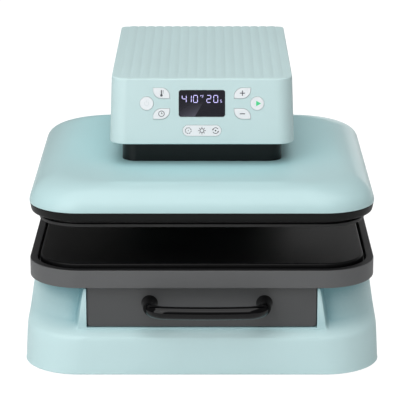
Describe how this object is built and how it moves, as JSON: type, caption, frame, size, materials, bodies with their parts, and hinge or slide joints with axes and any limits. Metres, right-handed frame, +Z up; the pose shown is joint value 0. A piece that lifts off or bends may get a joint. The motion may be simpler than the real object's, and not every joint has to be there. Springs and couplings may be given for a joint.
{
  "type": "automatic heat press",
  "caption": "Desktop automatic heat press with a motor-driven square upper platen, a pull-out lower platen and a control head.",
  "frame": {"origin": "on the table under the middle of the part's bounding box", "axes": "+Z up, the handle and control panel face -Y, +X to the user's right"},
  "size_m": [0.4198, 0.4934, 0.3272],
  "materials": {
    "mint_shell": "gloss",
    "black_gloss": "gloss",
    "black_plastic": "satin",
    "grey_plastic": "satin",
    "steel_plate": "satin",
    "bare_steel": "brushed",
    "coated_aluminium": "coated",
    "pad_foam": "matte",
    "foot_rubber": "matte",
    "white_plastic": "satin",
    "brass_bronze": "machined",
    "board": "satin",
    "fibre_blanket": "fibrous",
    "ceramic_body": "glazed",
    "window": "gloss"
  },
  "bodies": {
    "stand": {"base_shell": "mint_shell", "base_plate": "bare_steel", "rubber_feet": "foot_rubber", "base_screws": "bare_steel", "frame_plate_left": "steel_plate", "frame_plate_right": "steel_plate", "frame_tie_bars": "steel_plate", "frame_bridge": "steel_plate", "slide_bracket_left": "steel_plate", "slide_bracket_right": "steel_plate", "slide_outer_left": "bare_steel", "slide_outer_right": "bare_steel", "guide_bushes": "brass_bronze", "thrust_bearing": "bare_steel", "lift_motor": "steel_plate", "head_shell": "mint_shell", "head_floor": "grey_plastic", "top_cover": "mint_shell", "column_cover": "mint_shell", "display_window": "window", "control_board": "board", "mode_lights": "white_plastic", "power_board": "board", "power_inlet": "black_plastic", "inlet_pins": "brass_bronze", "switch_housing": "black_plastic"},
    "drawer": {"slide_inner_left": "bare_steel", "slide_inner_right": "bare_steel", "drawer_chassis": "bare_steel", "tray": "grey_plastic", "lower_pad": "pad_foam", "drawer_front": "grey_plastic", "drawer_handle": "black_gloss", "handle_screws": "bare_steel"},
    "slide_middles": {"slide_middle_left": "bare_steel", "slide_middle_right": "bare_steel"},
    "platen": {"heater_plate": "coated_aluminium", "heating_element": "bare_steel", "insulation_blanket": "fibre_blanket", "platen_posts": "bare_steel", "thermostat": "ceramic_body", "platen_bridge": "bare_steel", "platen_skirt": "black_plastic", "platen_cover": "mint_shell", "neck_sleeve": "black_plastic", "nut_tube": "bare_steel", "lift_nut": "brass_bronze", "guide_rods": "bare_steel"},
    "screw": {"lead_screw": "bare_steel", "screw_gear": "white_plastic"},
    "pinion": {"drive_pinion": "brass_bronze"},
    "power_button": {"power_key": "white_plastic"},
    "start_button": {"start_key": "white_plastic"},
    "temperature_button": {"temperature_key": "white_plastic"},
    "timer_button": {"timer_key": "white_plastic"},
    "plus_button": {"plus_key": "white_plastic"},
    "minus_button": {"minus_key": "white_plastic"},
    "rocker": {"rocker_key": "black_plastic"}
  },
  "joints": [
    {"name": "drawer_slide", "type": "slide", "parent": "stand", "child": "drawer", "axis": [0, -1, 0], "range_m": [0, 0.25]},
    {"name": "middle_slide", "type": "slide", "parent": "stand", "child": "slide_middles", "axis": [0, -1, 0], "range_m": [0, 0.125]},
    {"name": "press_travel", "type": "slide", "parent": "stand", "child": "platen", "axis": [0, 0, -1], "range_m": [0, 0.0433]},
    {"name": "screw_turn", "type": "hinge", "parent": "stand", "child": "screw", "pos_m": [0, -0.00625, 0.3], "axis": [0, 0, 1], "continuous": true},
    {"name": "pinion_turn", "type": "hinge", "parent": "stand", "child": "pinion", "pos_m": [0, 0.03625, 0.3], "axis": [0, 0, 1], "continuous": true},
    {"name": "power_press", "type": "slide", "parent": "stand", "child": "power_button", "axis": [0, 0.9781, -0.2079], "range_m": [0, 0.0008], "stiffness_N_per_m": 400},
    {"name": "start_press", "type": "slide", "parent": "stand", "child": "start_button", "axis": [0, 0.9781, -0.2079], "range_m": [0, 0.0008], "stiffness_N_per_m": 400},
    {"name": "temperature_press", "type": "slide", "parent": "stand", "child": "temperature_button", "axis": [0, 0.9781, -0.2079], "range_m": [0, 0.0008], "stiffness_N_per_m": 400},
    {"name": "timer_press", "type": "slide", "parent": "stand", "child": "timer_button", "axis": [0, 0.9781, -0.2079], "range_m": [0, 0.0008], "stiffness_N_per_m": 400},
    {"name": "plus_press", "type": "slide", "parent": "stand", "child": "plus_button", "axis": [0, 0.9781, -0.2079], "range_m": [0, 0.0008], "stiffness_N_per_m": 400},
    {"name": "minus_press", "type": "slide", "parent": "stand", "child": "minus_button", "axis": [0, 0.9781, -0.2079], "range_m": [0, 0.0008], "stiffness_N_per_m": 400},
    {"name": "rocker_tilt", "type": "hinge", "parent": "stand", "child": "rocker", "pos_m": [0.045, 0.23275, 0.134], "axis": [1, 0, 0], "range_deg": [0, 18]}
  ],
  "couplings": [
    {"joint": "middle_slide", "follows": "drawer_slide", "ratio": 0.5},
    {"joint": "screw_turn", "follows": "press_travel", "rad_per_m": 628.32},
    {"joint": "pinion_turn", "follows": "press_travel", "rad_per_m": -1885}
  ]
}
